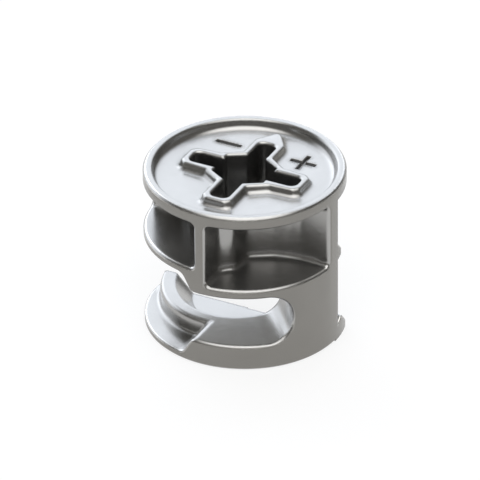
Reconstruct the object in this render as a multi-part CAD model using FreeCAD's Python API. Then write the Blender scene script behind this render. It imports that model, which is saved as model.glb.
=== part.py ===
"""Cam housing of a furniture connector, cast in one piece.

Units are millimetres.  The origin is the middle of the lower face, +Z runs up
to the driver face and +X is the way the bolt comes in (the arrow on the face).
Angles are degrees, counter-clockwise from +X seen from above.
"""
import math
import os

import FreeCAD, Part

# Driving dimensions of the board and the bolt
BOARD_BORE = 15.0
BORE_CLEARANCE = 0.05
BODY_HEIGHT = 12.9
BOLT_AXIS_BELOW_FACE = 8.9
NECK_SLOT_HEIGHT = 4.0
HEAD_OPENING = 6.84
SLOT_END_ANGLE = 219.5
SPIRAL_END_RADIUS = 3.2
SPIRAL_END_ANGLE = 215.0
SPIRAL_ENTRY_ANGLE = 90.0
SPIRAL_ENTRY_WALL = 1.69
SPIRAL_STEADY = 0.43
CAVITY_FIRST = 80.0
CAVITY_ROUND = 0.9
CAVITY_RUN = 5.5
NECK_SLOT_FIRST = 60.0

# Driver face
RIM_WIDTH = 0.70
RIM_EDGE = 0.18
RIM_INNER_EDGE = 0.10
DISH_DEPTH = 0.77
DISH_WALL_RUN = 0.50
COVE_STEPS = 5
BOSS_SINK = 0.16
BOSS_WALL = 0.43
BOSS_END_WALL = 0.45
BOSS_END_CUT = 0.40
BOSS_DRAFT = 0.12
BOSS_ROUND = 0.2
BOSS_KNEE = 0.12
HEX_ACROSS_FLATS = 4.1
CROSS_WIDTH = 1.44
CROSS_REACH = (3.95, 4.32, 4.42, 4.40)
RECESS_DEPTH = 4.15
HEX_ROUND = 0.1
CROSS_ROUND = 0.5
ARROW_GAP = 0.47
ARROW_SHOULDER = 0.2
TIP_ROUND = 0.32

# Walls and plates
SOCKET_WALL = 0.65
DISC_SKIN = 0.80
DISC_LEDGE = 0.45
RIM_BAND = 1.03
WEB_HALF = 0.42
FRONT_PLATE = 0.75
BACK_PLATE = 0.58
RAIL_WIDTH = 1.12
HEAD_FLANK = 1.40
END_WALL_X = 0.27
RAIL_END_X = 0.35
ROOF_LEDGE = 0.90
FOOT_REACH = 2.08
FOOT_HEIGHT = 1.58
FOOT_NOTCH = 1.15
LUG_REACH = 0.6
LUG_ROUND = 0.12
SPINE_DEPTH = 1.6
POCKET_FILLET = 0.44
POCKET_CORNER = 0.50
POCKET_ARM_RUN = 0.62
POCKET_ARM_CUT = 0.70
FRONT_WEB_X = 0.92
BASE_EDGE = 0.16
WALL_EDGE = 0.16
STEP_EDGE = 0.08
RAIL_EDGE_SHARE = 0.25
RAIL_ROOT_SHARE = 0.28
RECESS_EDGE = 0.12
BOSS_EDGE = 0.10
BOSS_ROOT = 0.22
VALLEY_FIRST = 75.0
VALLEY_LAST = 185.0
STEP_START = 1.53
STEP_RUN_SHARE = 0.60
STEP_ROUND_SHARE = 0.52
CUT_MARGIN = 1.5
WALL_MARGIN = 0.3
RING_OVERLAP = 0.05

# Sizes that follow from the ones above
OUTER_RADIUS = BOARD_BORE / 2 - BORE_CLEARANCE
BOLT_AXIS_Z = BODY_HEIGHT - BOLT_AXIS_BELOW_FACE
SLOT_LOW = BOLT_AXIS_Z - NECK_SLOT_HEIGHT / 2
SLOT_HIGH = BOLT_AXIS_Z + NECK_SLOT_HEIGHT / 2
HEAD_LOW = BOLT_AXIS_Z - HEAD_OPENING / 2
HEAD_HIGH = BOLT_AXIS_Z + HEAD_OPENING / 2
DISH_Z = BODY_HEIGHT - DISH_DEPTH
BOSS_Z = BODY_HEIGHT - BOSS_SINK
RECESS_FLOOR = BOSS_Z - RECESS_DEPTH
WINDOW_TOP = BODY_HEIGHT - RIM_BAND
FRONT_FLOOR = SLOT_HIGH + FRONT_PLATE
BACK_FLOOR = HEAD_HIGH + BACK_PLATE
DISC_UNDERSIDE = DISH_Z - DISC_SKIN
RIM_INNER = OUTER_RADIUS - RIM_WIDTH
DISH_RADIUS = RIM_INNER - DISH_WALL_RUN
HEX_APOTHEM = HEX_ACROSS_FLATS / 2
FAR = OUTER_RADIUS + CUT_MARGIN
ROOF_RADIUS = OUTER_RADIUS - ROOF_LEDGE
ARROW_TIP = DISH_RADIUS - ARROW_GAP
STEP_HEIGHT = SLOT_LOW - HEAD_LOW
STEP_RUN = STEP_HEIGHT * STEP_RUN_SHARE
STEP_ROUND = STEP_HEIGHT * STEP_ROUND_SHARE
RAIL_EDGE = STEP_HEIGHT * RAIL_EDGE_SHARE
RAIL_ROOT = STEP_HEIGHT * RAIL_ROOT_SHARE
SPIRAL_GROWTH = OUTER_RADIUS - SPIRAL_ENTRY_WALL - SPIRAL_END_RADIUS


def point(x, y, z=0.0):
    """Return a point as a vector."""
    return FreeCAD.Vector(x, y, z)


def polar(radius, angle, z=0.0):
    """Return the point at a radius and an angle in degrees."""
    turn = math.radians(angle)
    return point(radius * math.cos(turn), radius * math.sin(turn), z)


def rounded_wire(corners, place):
    """Return a closed wire through corners (a, b, radius), set in space by place(a, b)."""
    count = len(corners)
    stops = []
    for index in range(count):
        a, b, radius = corners[index]
        before = corners[index - 1]
        after = corners[(index + 1) % count]
        if radius <= 0:
            stops.append(((a, b), None, (a, b)))
            continue
        back = math.hypot(before[0] - a, before[1] - b)
        ahead = math.hypot(after[0] - a, after[1] - b)
        ua, ub = (before[0] - a) / back, (before[1] - b) / back
        va, vb = (after[0] - a) / ahead, (after[1] - b) / ahead
        half = math.acos(max(-1.0, min(1.0, ua * va + ub * vb))) / 2
        run = radius / math.tan(half)
        ma, mb = ua + va, ub + vb
        size = math.hypot(ma, mb)
        reach = radius / math.sin(half) - radius
        middle = (a + ma / size * reach, b + mb / size * reach)
        stops.append(((a + ua * run, b + ub * run), middle, (a + va * run, b + vb * run)))
    edges = []
    for index in range(count):
        start, middle, end = stops[index]
        following = stops[(index + 1) % count][0]
        if middle is not None:
            edges.append(Part.Arc(place(*start), place(*middle), place(*end)).toShape())
        if math.hypot(end[0] - following[0], end[1] - following[1]) > 1e-6:
            edges.append(Part.makeLine(place(*end), place(*following)))
    return Part.Wire(edges)


def plan_prism(corners, low, high):
    """Return a prism over a rounded plan outline between two heights."""
    wire = rounded_wire(corners, lambda a, b: point(a, b, low))
    return Part.Face(wire).extrude(point(0, 0, high - low))


def side_prism(corners, start, end):
    """Return a prism over an outline in x and z that runs from y = start to y = end."""
    wire = rounded_wire(corners, lambda a, b: point(a, start, b))
    return Part.Face(wire).extrude(point(0, end - start, 0))


def turned(corners):
    """Return the solid made by turning an outline of (radius, z, rounding) about Z."""
    wire = rounded_wire(corners, lambda a, b: point(a, 0, b))
    return Part.Face(wire).revolve(point(0, 0, 0), point(0, 0, 1), 360)


def spiral_radius(angle):
    """Return the radius of the bearing wall for the bolt head."""
    turn = max(0.0, SPIRAL_END_ANGLE - angle) / (SPIRAL_END_ANGLE - SPIRAL_ENTRY_ANGLE)
    share = SPIRAL_STEADY * turn + (1 - SPIRAL_STEADY) * turn * turn
    return SPIRAL_END_RADIUS + SPIRAL_GROWTH * share


def spiral_edge(first, last, offset, z):
    """Return the spiral between two angles as one smooth edge."""
    steps = 8
    points = []
    for index in range(steps + 1):
        angle = first + (last - first) * index / steps
        points.append(polar(spiral_radius(angle) + offset, angle, z))
    curve = Part.BSplineCurve()
    curve.interpolate(points)
    return curve.toShape()


def samples(edge):
    """Return seven points spread along an edge."""
    first, last = edge.FirstParameter, edge.LastParameter
    return [edge.valueAt(first + (last - first) * step / 6) for step in range(7)]


def lies_on_wall(edge):
    """Tell whether an edge bounds a window, the slot or the opening in the outer wall."""
    points = samples(edge)
    if any(abs(math.hypot(spot.x, spot.y) - OUTER_RADIUS) > 1e-3 for spot in points):
        return False
    if min(spot.z for spot in points) < WALL_MARGIN or max(spot.z for spot in points) > BODY_HEIGHT - WALL_MARGIN:
        return False
    return max(spot.x for spot in points) < RAIL_END_X + 0.01 and min(spot.x for spot in points) < 0


def cove():
    """Return the outline of the hollow wall between the rim and the dish floor."""
    corners = []
    for step in range(COVE_STEPS + 1):
        turn = math.pi / 2 * step / COVE_STEPS
        run = DISH_WALL_RUN * (1 - math.cos(turn))
        drop = RIM_INNER_EDGE + (DISH_DEPTH - RIM_INNER_EDGE) * math.sin(turn)
        corners.append((RIM_INNER - run, BODY_HEIGHT - drop, 0))
    return corners


def make_blank():
    """Return the turned blank with its dished driver face."""
    return turned([
        (0, 0, 0),
        (OUTER_RADIUS - BASE_EDGE, 0, 0),
        (OUTER_RADIUS, BASE_EDGE, 0),
        (OUTER_RADIUS, BODY_HEIGHT - RIM_EDGE, 0),
        (OUTER_RADIUS - RIM_EDGE, BODY_HEIGHT, 0),
        (RIM_INNER + RIM_INNER_EDGE, BODY_HEIGHT, 0),
        *cove(),
        (0, DISH_Z, 0),
    ])


def make_disc_thickening():
    """Return the coned underside that thickens the driver face."""
    return turned([
        (0, DISC_UNDERSIDE, 0),
        (DISH_RADIUS, DISC_UNDERSIDE, 0),
        (OUTER_RADIUS - DISC_LEDGE, WINDOW_TOP, 0),
        (OUTER_RADIUS - DISC_LEDGE, WINDOW_TOP + RING_OVERLAP, 0),
        (0, WINDOW_TOP + RING_OVERLAP, 0),
    ])


def pocket(corners, floor):
    """Return one side pocket cutter with filleted floor and top."""
    prism = plan_prism(corners, floor, WINDOW_TOP)
    edges = []
    for edge in prism.Edges:
        heights = [vertex.Point.z for vertex in edge.Vertexes]
        if max(heights) - min(heights) < 1e-6:
            edges.append(edge)
    return prism.makeFillet(POCKET_FILLET, edges)


def make_pockets():
    """Return the four pockets that leave the driver socket and its webs standing."""
    tube = HEX_APOTHEM + SOCKET_WALL
    side = CROSS_WIDTH / 2 + SOCKET_WALL
    flat_x = (tube - 0.5 * side) / math.cos(math.radians(30))
    flat_y = (tube - math.cos(math.radians(30)) * side) / 0.5
    right, back, left, front = (reach + POCKET_ARM_RUN for reach in CROSS_REACH)
    soft = POCKET_CORNER
    pockets = []
    for sign_x, sign_y, floor, end_x, web_y, end_y in (
            (-1, -1, FRONT_FLOOR, left, FRONT_WEB_X, front),
            (-1, 1, BACK_FLOOR, left, WEB_HALF, back),
            (1, -1, BACK_FLOOR, right, WEB_HALF, front),
            (1, 1, BACK_FLOOR, right, WEB_HALF, back)):
        outline = [
            (FAR, WEB_HALF, 0),
            (end_x, WEB_HALF, soft),
            (end_x - POCKET_ARM_CUT, side - SOCKET_WALL / 4, soft),
            (flat_x, side, soft),
            (side, flat_y, soft),
            (max(web_y, side - SOCKET_WALL / 2), end_y - POCKET_ARM_CUT, soft),
            (web_y, end_y, soft),
            (web_y, FAR, 0),
            (FAR, FAR, 0),
        ]
        placed = [(sign_x * a, sign_y * b, radius) for a, b, radius in outline]
        pockets.append(pocket(placed, floor))
    return pockets


def cavity_wire(flank, z):
    """Return the plan outline of the head cavity, pulled in by the flank."""
    inward = polar(1, SLOT_END_ANGLE)
    across = polar(1, SLOT_END_ANGLE + 90)
    spiral = spiral_edge(CAVITY_FIRST, SLOT_END_ANGLE, -flank, z)
    start = polar(spiral_radius(CAVITY_FIRST) - flank, CAVITY_FIRST, z)
    end = polar(spiral_radius(SLOT_END_ANGLE) - flank, SLOT_END_ANGLE, z)
    half = HEAD_OPENING / 2 - flank
    turn_in = end + across * (half - CAVITY_ROUND)
    corner = end + across * half
    turn_out = corner - inward * CAVITY_ROUND
    centre = turn_in - inward * CAVITY_ROUND
    turn_mid = centre + (inward + across) * (CAVITY_ROUND / math.sqrt(2))
    far_point = corner - inward * CAVITY_RUN
    edges = [
        spiral,
        Part.makeLine(end, turn_in),
        Part.Arc(turn_in, turn_mid, turn_out).toShape(),
        Part.makeLine(turn_out, far_point),
        Part.makeLine(far_point, start),
    ]
    return Part.Wire(edges)


def make_cavity():
    """Return the space the bolt head turns in, with sloped flanks above and below."""
    low = Part.makeLoft([cavity_wire(HEAD_FLANK, HEAD_LOW), cavity_wire(0, SLOT_LOW)], True, True)
    middle = Part.Face(cavity_wire(0, SLOT_LOW)).extrude(point(0, 0, NECK_SLOT_HEIGHT))
    high = Part.makeLoft([cavity_wire(0, SLOT_HIGH), cavity_wire(HEAD_FLANK, HEAD_HIGH)], True, True)
    return low, middle, high


def make_neck_slot():
    """Return the slot for the bolt neck and its round end."""
    middle = (NECK_SLOT_FIRST + SLOT_END_ANGLE) / 2
    wire = Part.Wire([
        Part.makeLine(point(0, 0, SLOT_LOW), polar(FAR, NECK_SLOT_FIRST, SLOT_LOW)),
        Part.Arc(polar(FAR, NECK_SLOT_FIRST, SLOT_LOW), polar(FAR, middle, SLOT_LOW),
                 polar(FAR, SLOT_END_ANGLE, SLOT_LOW)).toShape(),
        Part.makeLine(polar(FAR, SLOT_END_ANGLE, SLOT_LOW), point(0, 0, SLOT_LOW)),
    ])
    sector = Part.Face(wire).extrude(point(0, 0, NECK_SLOT_HEIGHT))
    round_end = Part.makeCylinder(NECK_SLOT_HEIGHT / 2, FAR, point(0, 0, BOLT_AXIS_Z),
                                  polar(1, SLOT_END_ANGLE))
    return sector, round_end


def valley_wire(offset, z):
    """Return the plan outline of the space outside the rails at one height."""
    first = VALLEY_FIRST
    last = VALLEY_LAST
    return Part.Wire([
        spiral_edge(first, last, offset, z),
        Part.makeLine(polar(spiral_radius(last) + offset, last, z), polar(FAR, last, z)),
        Part.Arc(polar(FAR, last, z), polar(FAR, (first + last) / 2, z), polar(FAR, first, z)).toShape(),
        Part.makeLine(polar(FAR, first, z), polar(spiral_radius(first) + offset, first, z)),
    ])


def make_valley():
    """Return the space outside the free-standing rails, ending in S-shaped steps."""
    bevel = 1 - math.sqrt(0.5)
    half = [
        (HEAD_LOW, RAIL_ROOT),
        (HEAD_LOW + RAIL_ROOT * bevel, RAIL_ROOT * bevel),
        (HEAD_LOW + RAIL_ROOT, 0),
        (SLOT_LOW - RAIL_EDGE, 0),
        (SLOT_LOW - RAIL_EDGE * bevel, -RAIL_EDGE * bevel),
        (SLOT_LOW, -RAIL_EDGE),
    ]
    mirrored = [(2 * BOLT_AXIS_Z - z, grow) for z, grow in reversed(half)]
    ring = Part.makeLoft([valley_wire(RAIL_WIDTH + grow, z) for z, grow in half + mirrored], True, True)
    outline = [
        (FAR, HEAD_LOW, 0),
        (STEP_START, HEAD_LOW, STEP_ROUND),
        (STEP_START - STEP_RUN, SLOT_LOW, STEP_ROUND),
        (-FAR, SLOT_LOW, 0),
        (-FAR, SLOT_HIGH, 0),
        (STEP_START - STEP_RUN, SLOT_HIGH, STEP_ROUND),
        (STEP_START, HEAD_HIGH, STEP_ROUND),
        (FAR, HEAD_HIGH, 0),
    ]
    wall = rounded_wire(outline, lambda a, b: point(-FAR, a, b))
    sweep = Part.Face(wall).extrude(point(2 * FAR, 0, 0))
    return ring.common(sweep)


def make_entry():
    """Return the cutters that open the entry side below and beside the roof."""
    high = HEAD_HIGH
    spine_end = Part.makeBox(FAR, FAR, high + 1, point(END_WALL_X, -FAR, -1))
    rail_end = Part.makeBox(FAR, FAR, high + 1, point(RAIL_END_X, 0, -1))
    ring = Part.makeCylinder(FAR * 1.5, WINDOW_TOP - high, point(0, 0, high))
    ring = ring.cut(Part.makeCylinder(ROOF_RADIUS, WINDOW_TOP - high, point(0, 0, high)))
    near = ring.common(Part.makeBox(2 * FAR, 2 * FAR, BODY_HEIGHT, point(END_WALL_X, -2 * FAR, 0)))
    back = ring.common(Part.makeBox(2 * FAR, 2 * FAR, BODY_HEIGHT, point(WEB_HALF, 0, 0)))
    return spine_end, rail_end, near, back


def make_foot_and_lug():
    """Return the foot and the lug left at the end of the spine."""
    back = END_WALL_X - WEB_HALF
    foot = side_prism([
        (back, 0, 0),
        (FOOT_REACH, 0, LUG_ROUND),
        (FOOT_REACH, FOOT_HEIGHT / 3, LUG_ROUND * 2),
        (FOOT_REACH / 2, FOOT_HEIGHT, LUG_ROUND),
        (END_WALL_X, FOOT_NOTCH, 0),
        (back, FOOT_NOTCH, 0),
    ], -OUTER_RADIUS, -OUTER_RADIUS + SPINE_DEPTH)
    lug = side_prism([
        (back, FRONT_FLOOR, 0),
        (END_WALL_X, FRONT_FLOOR, 0),
        (END_WALL_X + LUG_REACH, FRONT_FLOOR + LUG_ROUND * 1.5, LUG_ROUND),
        (END_WALL_X + LUG_REACH, HEAD_HIGH + LUG_ROUND / 2, LUG_ROUND),
        (END_WALL_X, BACK_FLOOR + LUG_ROUND, 0),
        (back, BACK_FLOOR + LUG_ROUND, 0),
    ], -OUTER_RADIUS, -OUTER_RADIUS + SPINE_DEPTH)
    tower = Part.makeCylinder(OUTER_RADIUS, BODY_HEIGHT)
    return foot.common(tower), lug.common(tower)


def boss_outline(grow, tip_grow):
    """Return the outline round the driver recess, grown outward, with the arrow."""
    side = CROSS_WIDTH / 2 + grow
    tube = HEX_APOTHEM + grow
    flat = (tube - 0.5 * side) / math.cos(math.radians(30))
    knee_x = side + BOSS_KNEE
    knee_y = tube + BOSS_KNEE / 2
    cut = BOSS_END_CUT
    end = grow + BOSS_END_WALL - BOSS_WALL
    shoulder = CROSS_REACH[0] + ARROW_SHOULDER
    up, left, down = (reach + end for reach in CROSS_REACH[1:])
    soft = BOSS_ROUND
    return [
        (ARROW_TIP + tip_grow, 0, TIP_ROUND), (shoulder, side, soft), (flat, side, soft),
        (knee_x, knee_y, soft), (side, up - cut, soft), (side - cut, up, soft),
        (cut - side, up, soft), (-side, up - cut, soft), (-knee_x, knee_y, soft),
        (-flat, side, soft), (cut - left, side, soft), (-left, side - cut, soft),
        (-left, cut - side, soft), (cut - left, -side, soft), (-flat, -side, soft),
        (-knee_x, -knee_y, soft), (-side, cut - down, soft), (cut - side, -down, soft),
        (side - cut, -down, soft), (side, cut - down, soft), (knee_x, -knee_y, soft),
        (flat, -side, soft), (shoulder, -side, soft),
    ]


def make_boss():
    """Return the drafted boss that carries the recess and the arrow."""
    sections = []
    for z, grow in ((DISH_Z - 0.02, BOSS_DRAFT + BOSS_ROOT * 1.1),
                    (DISH_Z + BOSS_ROOT * 0.25, BOSS_DRAFT + BOSS_ROOT * 0.4),
                    (DISH_Z + BOSS_ROOT * 0.9, BOSS_DRAFT * 0.9),
                    (BOSS_Z - BOSS_EDGE, BOSS_EDGE / 3),
                    (BOSS_Z - BOSS_EDGE * 0.3, -BOSS_EDGE * 0.3),
                    (BOSS_Z, -BOSS_EDGE)):
        outline = boss_outline(BOSS_WALL + grow, grow)
        sections.append(rounded_wire(outline, lambda a, b: point(a, b, z)))
    return Part.makeLoft(sections, True, True)


def make_recess():
    """Return the hexagon and cross driver recess."""
    side = CROSS_WIDTH / 2
    high = BODY_HEIGHT
    hexagon = [polar(HEX_APOTHEM / math.cos(math.radians(30)), 60 * index) for index in range(6)]
    shape = plan_prism([(corner.x, corner.y, HEX_ROUND) for corner in hexagon], RECESS_FLOOR, high)
    for index, reach in enumerate(CROSS_REACH):
        arm = plan_prism([(0, -side, 0), (reach, -side, CROSS_ROUND), (reach, side, CROSS_ROUND), (0, side, 0)],
                         RECESS_FLOOR, high)
        arm.rotate(point(0, 0), point(0, 0, 1), 90 * index)
        shape = shape.fuse(arm)
    return shape.removeSplitter()


def round_wall(housing):
    """Return the housing with the edges of its windows and its slot rounded on the outer wall."""
    return housing.makeChamfer(WALL_EDGE, [edge for edge in housing.Edges if lies_on_wall(edge)])


def round_steps(housing):
    """Return the housing with the valley's outer edges rounded, its steps included."""
    edges = []
    for edge in housing.Edges:
        if lies_on_wall(edge) and min(spot.y for spot in samples(edge)) > 0:
            if max(spot.z for spot in samples(edge)) < HEAD_HIGH + 1e-3:
                edges.append(edge)
    return housing.makeChamfer(STEP_EDGE, edges)


def round_recess(housing):
    """Return the housing with the mouth of the driver recess rounded."""
    face = [face for face in housing.Faces
            if face.BoundBox.ZLength < 1e-4 and abs(face.BoundBox.ZMin - BOSS_Z) < 1e-3]
    rim = min(face[0].Wires, key=lambda wire: wire.BoundBox.XLength)
    return housing.makeChamfer(RECESS_EDGE, rim.Edges)


def build_housing():
    """Return the finished housing as one solid."""
    housing = make_blank()
    for cutter in make_pockets():
        housing = housing.cut(cutter)
    housing = housing.fuse(make_disc_thickening())
    for cutter in (*make_entry(), *make_cavity(), *make_neck_slot()):
        housing = housing.cut(cutter)
    housing = round_wall(housing.removeSplitter().Solids[0])
    housing = round_steps(housing.cut(make_valley()).removeSplitter().Solids[0])
    for addition in (*make_foot_and_lug(), make_boss()):
        housing = housing.fuse(addition)
    housing = housing.cut(make_recess()).removeSplitter()
    return round_recess(housing.Solids[0])


if __name__ == "__main__":
    os.makedirs("parts", exist_ok=True)
    part = build_housing()
    print(len(part.Solids), part.isValid(), round(part.Volume, 2), "mm3")
    part.exportStep("parts/cam_housing.step")
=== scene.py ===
"""Looks of the cast cam housing of a furniture connector.

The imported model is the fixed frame.  The casting keeps the frame's form, gets
the sunk direction signs of its driver face and a cast zinc finish, and stands
on a pale floor under soft studio light.
"""

import logging
import math
from dataclasses import dataclass, field
from enum import Enum

import bmesh
import bpy
from mathutils import Matrix, Vector

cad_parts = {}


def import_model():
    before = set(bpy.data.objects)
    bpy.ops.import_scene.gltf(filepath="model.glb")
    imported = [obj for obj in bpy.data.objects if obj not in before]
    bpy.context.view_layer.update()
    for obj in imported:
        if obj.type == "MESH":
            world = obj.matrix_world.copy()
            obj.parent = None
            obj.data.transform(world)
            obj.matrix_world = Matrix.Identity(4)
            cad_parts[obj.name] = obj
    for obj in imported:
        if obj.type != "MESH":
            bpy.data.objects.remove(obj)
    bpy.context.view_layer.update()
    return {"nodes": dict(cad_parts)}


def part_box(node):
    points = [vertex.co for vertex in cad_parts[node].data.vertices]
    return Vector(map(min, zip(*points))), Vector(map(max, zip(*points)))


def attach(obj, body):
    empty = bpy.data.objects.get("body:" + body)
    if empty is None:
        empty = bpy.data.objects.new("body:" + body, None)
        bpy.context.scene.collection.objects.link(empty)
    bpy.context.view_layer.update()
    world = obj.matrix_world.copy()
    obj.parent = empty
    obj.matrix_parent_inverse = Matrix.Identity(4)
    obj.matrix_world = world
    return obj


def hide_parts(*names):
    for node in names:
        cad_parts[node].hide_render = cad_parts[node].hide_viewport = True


LOG = logging.getLogger("cam_housing")
MM = 0.001


class Turn(Enum):
    """The two ways the driver turns, as the signs on the face tell them."""

    OPEN = "minus"
    CLOSE = "plus"


@dataclass(frozen=True)
class NodeNet:
    """The nodes of one material or world, with the few joins that its maker uses."""

    tree: bpy.types.NodeTree

    def add(self, kind: str) -> bpy.types.Node:
        """Add a node of one kind and return it."""
        return self.tree.nodes.new(kind)

    def join(self, source: bpy.types.NodeSocket, target: bpy.types.NodeSocket) -> None:
        """Link an output to an input."""
        self.tree.links.new(source, target)

    def math(self, operation: str, first: bpy.types.NodeSocket,
             second: bpy.types.NodeSocket | float, clamp: bool = False) -> bpy.types.NodeSocket:
        """Work out a number from one or two others.

        Args:
            operation: Name of the math operation.
            first: The first number.
            second: The second number, which some operations leave unused.
            clamp: Whether the result is kept between 0 and 1.

        Returns:
            The socket that gives the result.
        """
        node = self.add("ShaderNodeMath")
        node.operation = operation
        node.use_clamp = clamp
        self.join(first, node.inputs[0])
        if isinstance(second, bpy.types.NodeSocket):
            self.join(second, node.inputs[1])
        else:
            node.inputs[1].default_value = second
        return node.outputs["Value"]

    def ramp(self, value: bpy.types.NodeSocket, low: float, high: float, start: float = 0.0,
             end: float = 1.0, smooth: bool = False) -> bpy.types.NodeSocket:
        """Lead a number from one range to another and stop at its ends.

        Args:
            value: The number.
            low: Value of the number that gives the start.
            high: Value of the number that gives the end.
            start: Result at the low value.
            end: Result at the high value.
            smooth: Whether the result leaves and reaches its ends gently.

        Returns:
            The socket that gives the result.
        """
        node = self.add("ShaderNodeMapRange")
        node.interpolation_type = "SMOOTHSTEP" if smooth else "LINEAR"
        node.inputs["From Min"].default_value = low
        node.inputs["From Max"].default_value = high
        node.inputs["To Min"].default_value = start
        node.inputs["To Max"].default_value = end
        self.join(value, node.inputs["Value"])
        return node.outputs["Result"]

    def tint(self, tone: bpy.types.NodeSocket, share: bpy.types.NodeSocket) -> bpy.types.NodeSocket:
        """Multiply a colour by a share.

        Args:
            tone: The colour.
            share: The share, or a second colour.

        Returns:
            The socket that gives the darkened colour.
        """
        node = self.add("ShaderNodeMix")
        node.data_type = "RGBA"
        node.blend_type = "MULTIPLY"
        node.inputs["Factor"].default_value = 1.0
        self.join(tone, node.inputs["A"])
        self.join(share, node.inputs["B"])
        return node.outputs["Result"]


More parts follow.
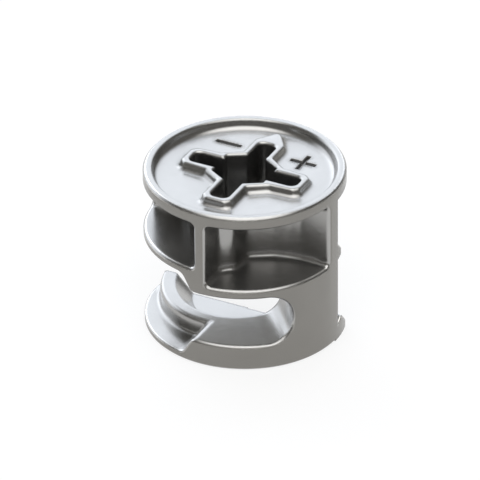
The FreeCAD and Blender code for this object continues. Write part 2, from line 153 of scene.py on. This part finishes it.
@dataclass(frozen=True)
class CastZinc:
    """Satin die-cast zinc alloy with softly rounded edges and a faint cast skin."""

    name: str = "cast_zinc"
    metal_share: float = 0.95
    body_colour: tuple[float, float, float] = (0.395, 0.391, 0.380)
    shade_low: float = 0.97
    shade_high: float = 1.03
    mottle_size: float = 2.4 * MM
    mottle_detail: float = 4.0
    rough_low: float = 0.20
    rough_high: float = 0.24
    grain_size: float = 0.5 * MM
    grain_detail: float = 3.0
    grain_depth: float = 0.0005 * MM
    grain_strength: float = 0.35
    noise_roughness: float = 0.55
    noise_span: tuple[float, float] = (0.3, 0.7)
    # The outer wall, a darker grey than the rest: painted shade that stands in for the darker reflection the
    # wall shows.
    painted_wall_shade: tuple[float, float, float] = (0.238, 0.230, 0.214)
    painted_wall_shade_start: float = 7.38 * MM
    painted_wall_shade_full: float = 7.44 * MM
    # Painted highlight on the upward edges of the outer wall.
    painted_highlight_colour: tuple[float, float, float] = (0.80, 0.79, 0.765)
    painted_highlight_start: float = 7.0 * MM
    painted_highlight_full: float = 7.2 * MM
    painted_highlight_flat: float = 0.985
    painted_highlight_edge: float = 0.90
    painted_highlight_rise: tuple[float, float] = (0.05, 0.45)
    # Painted shade where the casting shuts itself in: pockets, recess and roots, darkened by ambient
    # occlusion.
    painted_shade_reach: float = 4.5 * MM
    painted_shade_depth: float = 0.60
    painted_shade_closed: float = 0.10
    painted_shade_open: float = 0.80
    painted_shade_samples: int = 6
    # The cast roundings: plain edges, the roots on the driver face, and the roots of the pockets.
    edge_round: float = 0.34 * MM
    edge_samples: int = 8
    root_round: float = 0.70 * MM
    root_near: float = 0.05 * MM
    root_far: float = 0.35 * MM
    pocket_round: float = 0.90 * MM
    pocket_full: float = 6.3 * MM
    pocket_end: float = 6.9 * MM
    pocket_low: float = 8.4 * MM
    pocket_high: float = 9.8 * MM
    roof_height: float = 6.95 * MM

    @staticmethod
    def sunk() -> "CastZinc":
        """Return the material of a sunk sign, whose darker colour is painted shade in the sunk bars."""
        # Painted shade: the sunk bars get a darker colour.
        sunk_shade_colour = (0.26, 0.256, 0.247)
        sharp = 0.04 * MM
        return CastZinc("sunk_zinc", body_colour=sunk_shade_colour, painted_wall_shade=sunk_shade_colour, rough_low=0.26, rough_high=0.34,
                        edge_round=sharp, root_round=sharp, pocket_round=sharp)

    def build(self, face_z: float) -> bpy.types.Material:
        """Make the material.

        Args:
            face_z: Height of the driver face, in metres.

        Returns:
            The finished node material.
        """
        material = bpy.data.materials.new(self.name)
        material.use_nodes = True
        shader = material.node_tree.nodes["Principled BSDF"]
        shader.inputs["Metallic"].default_value = self.metal_share
        net = NodeNet(material.node_tree)
        place = net.add("ShaderNodeTexCoord").outputs["Object"]
        grain = self._noise(net, place, self.grain_size, self.grain_detail)
        rounding = net.add("ShaderNodeBevel")
        rounding.samples = self.edge_samples
        net.join(self._rounding(net, place, face_z), rounding.inputs["Radius"])
        # Painted highlight: the upward outer-wall edges are mixed towards a bright colour.
        highlit_colour = net.add("ShaderNodeMix")
        highlit_colour.data_type = "RGBA"
        net.join(self._painted_highlight(net, place, rounding.outputs["Normal"]), highlit_colour.inputs["Factor"])
        net.join(self._tone(net, place), highlit_colour.inputs["A"])
        highlit_colour.inputs["B"].default_value = (*self.painted_highlight_colour, 1.0)
        net.join(highlit_colour.outputs["Result"], shader.inputs["Base Color"])
        low, high = self.noise_span
        net.join(net.ramp(grain, low, high, self.rough_low, self.rough_high), shader.inputs["Roughness"])
        bump = net.add("ShaderNodeBump")
        bump.inputs["Strength"].default_value = self.grain_strength
        bump.inputs["Distance"].default_value = self.grain_depth
        net.join(grain, bump.inputs["Height"])
        net.join(rounding.outputs["Normal"], bump.inputs["Normal"])
        net.join(bump.outputs["Normal"], shader.inputs["Normal"])
        return material

    def _tone(self, net: NodeNet, place: bpy.types.NodeSocket) -> bpy.types.NodeSocket:
        """Give the metal its mottled tone, with painted shade on the outer wall and painted shade from
        ambient occlusion in the crevices.

        Args:
            net: The material's nodes.
            place: The object coordinates.

        Returns:
            The socket that gives the tone.
        """
        # Painted shade: the outer wall is mixed towards a darker grey.
        plain = net.add("ShaderNodeMix")
        plain.data_type = "RGBA"
        plain.inputs["A"].default_value = (*self.body_colour, 1.0)
        plain.inputs["B"].default_value = (*self.painted_wall_shade, 1.0)
        radius = self._radius(net, place)
        net.join(net.ramp(radius, self.painted_wall_shade_start, self.painted_wall_shade_full, smooth=True), plain.inputs["Factor"])
        mottle = self._noise(net, place, self.mottle_size, self.mottle_detail)
        low, high = self.noise_span
        shade = net.ramp(mottle, low, high, self.shade_low, self.shade_high)
        # Painted shade: ambient occlusion darkens the colour in pockets, recess and roots.
        occlusion_shade = net.add("ShaderNodeAmbientOcclusion")
        occlusion_shade.samples = self.painted_shade_samples
        occlusion_shade.only_local = True
        occlusion_shade.inputs["Distance"].default_value = self.painted_shade_reach
        painted_crevice_shade = net.ramp(occlusion_shade.outputs["AO"], self.painted_shade_closed, self.painted_shade_open, self.painted_shade_depth)
        return net.tint(net.tint(plain.outputs["Result"], shade), painted_crevice_shade)

    def _rounding(self, net: NodeNet, place: bpy.types.NodeSocket, face_z: float) -> bpy.types.NodeSocket:
        """Round the roots of the driver face's boss and of the pockets more than the other edges.

        Args:
            net: The material's nodes.
            place: The object coordinates.
            face_z: Height of the driver face, in metres.

        Returns:
            The socket that gives the radius of the rounding, in metres.
        """
        split = net.add("ShaderNodeSeparateXYZ")
        net.join(place, split.inputs["Vector"])
        height = split.outputs["Z"]
        apart = net.math("ABSOLUTE", net.math("SUBTRACT", height, face_z), 0.0)
        face_root = net.ramp(apart, self.root_near, self.root_far, self.root_round, self.edge_round)
        inside = net.ramp(self._radius(net, place), self.pocket_full, self.pocket_end,
                          self.pocket_round, self.edge_round, smooth=True)
        low_down = net.ramp(height, self.pocket_low, self.pocket_high, 1.0, 0.0)
        over_roof = net.math("GREATER_THAN", height, self.roof_height)
        pocket_root = net.math("MULTIPLY", inside, net.math("MULTIPLY", low_down, over_roof))
        return net.math("MAXIMUM", face_root, pocket_root)

    def _painted_highlight(self, net: NodeNet, place: bpy.types.NodeSocket,
              rounded: bpy.types.NodeSocket) -> bpy.types.NodeSocket:
        """Find the upward edges of the outer wall, where a highlight is painted.

        Args:
            net: The material's nodes.
            place: The object coordinates.
            rounded: The normal with its edges rounded.

        Returns:
            The socket that is 1 on such an edge and 0 away from it.
        """
        facing = net.add("ShaderNodeVectorMath")
        facing.operation = "DOT_PRODUCT"
        net.join(net.add("ShaderNodeNewGeometry").outputs["True Normal"], facing.inputs[0])
        net.join(rounded, facing.inputs[1])
        edge = net.ramp(facing.outputs["Value"], self.painted_highlight_flat, self.painted_highlight_edge, smooth=True)
        split = net.add("ShaderNodeSeparateXYZ")
        net.join(rounded, split.inputs["Vector"])
        upward = net.ramp(split.outputs["Z"], *self.painted_highlight_rise, smooth=True)
        reach = net.ramp(self._radius(net, place), self.painted_highlight_start, self.painted_highlight_full, smooth=True)
        return net.math("MULTIPLY", net.math("MULTIPLY", edge, upward), reach)

    @staticmethod
    def _radius(net: NodeNet, place: bpy.types.NodeSocket) -> bpy.types.NodeSocket:
        """Measure how far a place lies from the casting's axis.

        Args:
            net: The material's nodes.
            place: The object coordinates.

        Returns:
            The socket that gives the distance, in metres.
        """
        flat = net.add("ShaderNodeVectorMath")
        flat.operation = "MULTIPLY"
        flat.inputs[1].default_value = (1.0, 1.0, 0.0)
        net.join(place, flat.inputs[0])
        radius = net.add("ShaderNodeVectorMath")
        radius.operation = "LENGTH"
        net.join(flat.outputs["Vector"], radius.inputs[0])
        return radius.outputs["Value"]

    def _noise(self, net: NodeNet, place: bpy.types.NodeSocket, size: float,
               detail: float) -> bpy.types.NodeSocket:
        """Add a noise whose spots are about one size across.

        Args:
            net: The material's nodes.
            place: The object coordinates.
            size: Width of a spot, in metres.
            detail: How many finer layers lie over it.

        Returns:
            The socket that gives the noise.
        """
        texture = net.add("ShaderNodeTexNoise")
        texture.inputs["Scale"].default_value = 1.0 / size
        texture.inputs["Detail"].default_value = detail
        texture.inputs["Roughness"].default_value = self.noise_roughness
        net.join(place, texture.inputs["Vector"])
        return texture.outputs["Fac"]


@dataclass(frozen=True)
class PaleFloor:
    """Matt near-white floor paint, which shows white to the camera and in the metal."""

    name: str = "pale_floor"
    colour: tuple[float, float, float, float] = (0.92, 0.92, 0.92, 1.0)
    roughness: float = 0.9
    shine: float = 0.1
    glow_share: float = 0.80

    def build(self) -> bpy.types.Material:
        """Make the material.

        Returns:
            The finished node material.
        """
        material = bpy.data.materials.new(self.name)
        material.use_nodes = True
        nodes = material.node_tree.nodes
        shader = nodes["Principled BSDF"]
        shader.inputs["Base Color"].default_value = self.colour
        shader.inputs["Roughness"].default_value = self.roughness
        shader.inputs["Specular IOR Level"].default_value = self.shine
        net = NodeNet(material.node_tree)
        path = net.add("ShaderNodeLightPath")
        seen = path.outputs["Is Camera Ray"]
        for name in ("Is Glossy Ray", "Is Transmission Ray"):
            seen = net.math("ADD", seen, path.outputs[name], clamp=True)
        mixed = net.add("ShaderNodeMixShader")
        net.join(net.math("MULTIPLY", seen, self.glow_share), mixed.inputs["Fac"])
        net.join(shader.outputs["BSDF"], mixed.inputs[1])
        net.join(net.add("ShaderNodeEmission").outputs["Emission"], mixed.inputs[2])
        net.join(mixed.outputs["Shader"], nodes["Material Output"].inputs["Surface"])
        return material


@dataclass
class DirectionSign:
    """A sign sunk into the driver face that shows which way to turn."""

    turn: Turn
    centre: tuple[float, float]
    length: float = 2.0 * MM
    width: float = 0.28 * MM
    depth: float = 0.24 * MM
    flare: float = 0.05 * MM

    def bars(self) -> list[float]:
        """Return the directions of the sign's bars, in degrees from +X."""
        return [90.0] if self.turn is Turn.OPEN else [90.0, 0.0]

    def cutter(self, face_z: float, skin: bpy.types.Material) -> bpy.types.Object:
        """Make the solid that sinks the sign into the face.

        Args:
            face_z: Height of the face, in metres.
            skin: Material of the sunk walls.

        Returns:
            The cutter as a new object.
        """
        tool: bpy.types.Object | None = None
        for index, angle in enumerate(self.bars()):
            mesh = bpy.data.meshes.new(f"sign_{self.turn.value}_{index}")
            build = bmesh.new()
            rings = []
            for z, grow in ((-self.depth, -self.flare), (-self.flare, 0.0), (self.flare, 2 * self.flare)):
                half = self.length / 2 + grow
                side = self.width / 2 + grow
                corners = [(-half, -side), (half, -side), (half, side), (-half, side)]
                rings.append([build.verts.new((a, b, z)) for a, b in corners])
            build.faces.new(reversed(rings[0]))
            build.faces.new(rings[-1])
            for low, high in zip(rings, rings[1:]):
                for step in range(4):
                    after = (step + 1) % 4
                    build.faces.new((low[step], low[after], high[after], high[step]))
            place = Matrix.Translation((*self.centre, face_z)) @ Matrix.Rotation(math.radians(angle), 4, "Z")
            build.transform(place)
            build.to_mesh(mesh)
            build.free()
            mesh.materials.append(skin)
            bar = bpy.data.objects.new(mesh.name, mesh)
            bpy.context.scene.collection.objects.link(bar)
            if tool is None:
                tool = bar
            else:
                apply_boolean(tool, bar, "UNION")
        return tool


def apply_boolean(target: bpy.types.Object, tool: bpy.types.Object, operation: str) -> None:
    """Join or cut one solid with another and remove the tool.

    Args:
        target: The solid that is changed.
        tool: The solid that joins or cuts it.
        operation: UNION or DIFFERENCE.
    """
    modifier = target.modifiers.new("join", "BOOLEAN")
    modifier.operation = operation
    modifier.solver = "EXACT"
    modifier.material_mode = "TRANSFER"
    modifier.object = tool
    bake_modifiers(target)
    bpy.data.objects.remove(tool)


def bake_modifiers(target: bpy.types.Object) -> None:
    """Replace an object's mesh by what its modifiers give and clear them.

    Args:
        target: The object to bake.
    """
    bpy.context.view_layer.update()
    graph = bpy.context.evaluated_depsgraph_get()
    mesh = bpy.data.meshes.new_from_object(target.evaluated_get(graph))
    target.modifiers.clear()
    target.data = mesh


@dataclass
class CamHousing:
    """The one casting: body, webs, cam rails and driver face."""

    node: bpy.types.Object
    dish_depth: float = 0.77 * MM
    merge_distance: float = 0.001 * MM
    smooth_limit: float = math.radians(40.0)
    patch_limit: float = math.radians(12.0)
    finish: CastZinc = field(default_factory=CastZinc)
    signs: tuple[DirectionSign, ...] = (
        DirectionSign(Turn.OPEN, (3.58 * MM, 3.11 * MM)),
        DirectionSign(Turn.CLOSE, (3.50 * MM, -3.03 * MM)),
    )

    def build(self) -> bpy.types.Object:
        """Make the dressed casting from the frame's solid.

        Returns:
            The finished piece.
        """
        piece = self._copy_of_node("cam_casting")
        piece.data.materials.clear()
        face_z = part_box("cam_housing")[1][2] - self.dish_depth
        piece.data.materials.append(self.finish.build(face_z))
        skin = CastZinc.sunk().build(face_z)
        for sign in self.signs:
            apply_boolean(piece, sign.cutter(face_z, skin), "DIFFERENCE")
        self._smooth(piece)
        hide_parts("cam_housing")
        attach(piece, "root")
        return piece

    def _copy_of_node(self, name: str) -> bpy.types.Object:
        """Copy the frame's solid with its loose triangles merged.

        Args:
            name: Name of the new piece.

        Returns:
            The copy.
        """
        mesh = self.node.data.copy()
        mesh.name = name
        build = bmesh.new()
        build.from_mesh(mesh)
        bmesh.ops.remove_doubles(build, verts=build.verts, dist=self.merge_distance)
        build.to_mesh(mesh)
        build.free()
        copy = bpy.data.objects.new(name, mesh)
        bpy.context.scene.collection.objects.link(copy)
        return copy

    def _smooth(self, piece: bpy.types.Object) -> None:
        """Shade the casting so that its narrow edges take up the turn between wide faces.

        Args:
            piece: The casting.
        """
        mesh = piece.data
        mesh.polygons.foreach_set("use_smooth", [True] * len(mesh.polygons))
        build = bmesh.new()
        build.from_mesh(mesh)
        build.faces.ensure_lookup_table()
        patches, areas = self._patches(build)
        normals: dict[int, Vector] = {}
        for vert in build.verts:
            for fan in self._fans(vert):
                shares: dict[int, Vector] = {}
                for face in fan:
                    corner = next(loop for loop in face.loops if loop.vert is vert)
                    share = shares.setdefault(patches[face.index], Vector())
                    share += face.normal * corner.calc_angle()
                total = Vector()
                for patch, share in shares.items():
                    total += share.normalized() * areas[patch]
                for face in fan:
                    corner = next(loop for loop in face.loops if loop.vert is vert)
                    normals[corner.index] = total.normalized()
        build.free()
        mesh.normals_split_custom_set([normals[index] for index in range(len(mesh.loops))])

    def _patches(self, build: bmesh.types.BMesh) -> tuple[dict[int, int], list[float]]:
        """Group the faces into patches that are flat or turn only gently.

        Args:
            build: The casting's mesh.

        Returns:
            The patch of each face, and the area of each patch.
        """
        patches: dict[int, int] = {}
        areas: list[float] = []
        for seed in build.faces:
            if seed.index in patches:
                continue
            patches[seed.index] = len(areas)
            waiting = [seed]
            area = 0.0
            while waiting:
                face = waiting.pop()
                area += face.calc_area()
                for edge in face.edges:
                    if len(edge.link_faces) != 2 or edge.calc_face_angle() > self.patch_limit:
                        continue
                    for other in edge.link_faces:
                        if other.index not in patches:
                            patches[other.index] = len(areas)
                            waiting.append(other)
            areas.append(area)
        return patches, areas

    def _fans(self, vert: bmesh.types.BMVert) -> list[list[bmesh.types.BMFace]]:
        """Split the faces round a vertex where its edges are sharp.

        Args:
            vert: The vertex.

        Returns:
            The groups of faces that are shaded as one surface.
        """
        left = list(vert.link_faces)
        fans = []
        while left:
            fan = [left.pop()]
            waiting = list(fan)
            while waiting:
                face = waiting.pop()
                for edge in face.edges:
                    if vert not in edge.verts or len(edge.link_faces) != 2:
                        continue
                    if edge.calc_face_angle() > self.smooth_limit:
                        continue
                    for other in edge.link_faces:
                        if other in left:
                            left.remove(other)
                            fan.append(other)
                            waiting.append(other)
            fans.append(fan)
        return fans


@dataclass(frozen=True)
class Glow:
    """A soft bright patch of the studio dome, placed from the camera's bearing."""

    turn: float
    elevation: float
    core: float
    fade: float
    level: float
    tint: tuple[float, float, float] = (1.0, 1.0, 1.0)


@dataclass
class Studio:
    """Floor, soft lights and the camera of the product shot."""

    floor_radius: float = 6.0
    floor_segments: int = 96
    world_level: float = 0.16
    world_colour: tuple[float, float, float] = (1.04, 1.0, 0.93)
    camera_azimuth: float = 207.0
    camera_elevation: float = 31.4
    camera_distance: float = 0.60
    sensor_width: float = 36.0
    clip_start: float = 0.01
    photo_width: float = 480.0
    photo_scale: float = 13.557 / MM
    aim_right: float = -0.38 * MM
    aim_up: float = 5.636 * MM
    roll: float = math.radians(0.44)
    glows: tuple[Glow, ...] = (
        Glow(turn=0.0, elevation=68.0, core=20.0, fade=42.0, level=2.4),
        Glow(turn=-132.0, elevation=14.0, core=12.0, fade=38.0, level=1.7, tint=(0.95, 1.0, 1.09)),
        Glow(turn=180.0, elevation=32.0, core=16.0, fade=48.0, level=1.85, tint=(0.94, 1.0, 1.10)),
    )

    def build(self) -> None:
        """Make the floor, the lights and the camera."""
        self._floor()
        self._world()
        self._camera()

    def _floor(self) -> None:
        """Make the round floor under the object."""
        mesh = bpy.data.meshes.new("studio_floor")
        build = bmesh.new()
        bmesh.ops.create_circle(build, cap_ends=True, segments=self.floor_segments, radius=self.floor_radius)
        build.to_mesh(mesh)
        build.free()
        mesh.materials.append(PaleFloor().build())
        floor = bpy.data.objects.new("studio_floor", mesh)
        bpy.context.scene.collection.objects.link(floor)

    def _world(self) -> None:
        """Light the set with an even dome that is brighter overhead, on one side and behind."""
        world = bpy.data.worlds.new("studio_world")
        bpy.context.scene.world = world
        world.use_nodes = True
        net = NodeNet(world.node_tree)
        bearing = net.add("ShaderNodeTexCoord").outputs["Generated"]
        total: bpy.types.NodeSocket | None = None
        for glow in self.glows:
            facing = net.add("ShaderNodeVectorMath")
            facing.operation = "DOT_PRODUCT"
            facing.inputs[1].default_value = self._towards(self.camera_azimuth + glow.turn, glow.elevation)
            net.join(bearing, facing.inputs[0])
            dark = math.cos(math.radians(glow.fade))
            full = math.cos(math.radians(glow.core))
            tint = net.add("ShaderNodeVectorMath")
            tint.operation = "SCALE"
            tint.inputs[0].default_value = [part * glow.level for part in glow.tint]
            net.join(net.ramp(facing.outputs["Value"], dark, full, smooth=True), tint.inputs["Scale"])
            joined = net.add("ShaderNodeVectorMath")
            joined.operation = "ADD"
            net.join(tint.outputs["Vector"], joined.inputs[0])
            if total is None:
                joined.inputs[1].default_value = [part * self.world_level for part in self.world_colour]
            else:
                net.join(total, joined.inputs[1])
            total = joined.outputs["Vector"]
        net.join(total, world.node_tree.nodes["Background"].inputs["Color"])

    def _towards(self, azimuth: float, elevation: float) -> Vector:
        """Return the unit vector to a bearing on the part.

        Args:
            azimuth: Degrees counter-clockwise from +X.
            elevation: Degrees above the floor.

        Returns:
            The unit vector.
        """
        turn = math.radians(azimuth)
        rise = math.radians(elevation)
        return Vector((math.cos(rise) * math.cos(turn), math.cos(rise) * math.sin(turn), math.sin(rise)))

    def _camera(self) -> None:
        """Set the long-lens camera at the photograph's viewing angle."""
        data = bpy.data.cameras.new("product_camera")
        data.sensor_width = self.sensor_width
        data.lens = data.sensor_width * self.camera_distance * self.photo_scale / self.photo_width
        data.clip_start = self.clip_start
        camera = bpy.data.objects.new("product_camera", data)
        bpy.context.scene.collection.objects.link(camera)
        back = self._towards(self.camera_azimuth, self.camera_elevation)
        right = Vector((0.0, 0.0, 1.0)).cross(back).normalized()
        up = back.cross(right)
        aim = right * self.aim_right + up * self.aim_up
        turn = Matrix((right, up, back)).transposed().to_4x4()
        camera.matrix_world = (Matrix.Translation(aim + back * self.camera_distance) @ turn
                               @ Matrix.Rotation(-self.roll, 4, "Z"))
        bpy.context.scene.camera = camera


def main() -> None:
    """Load the frame, dress the casting and set the studio."""
    logging.basicConfig(level=logging.INFO, format="%(name)s: %(message)s")
    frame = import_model()
    bpy.context.scene.view_settings.view_transform = "Standard"
    housing = CamHousing(frame["nodes"]["cam_housing"]).build()
    LOG.info("casting: %d faces", len(housing.data.polygons))
    Studio().build()
    LOG.info("studio: floor, dome light and camera")


if __name__ == "__main__":
    main()
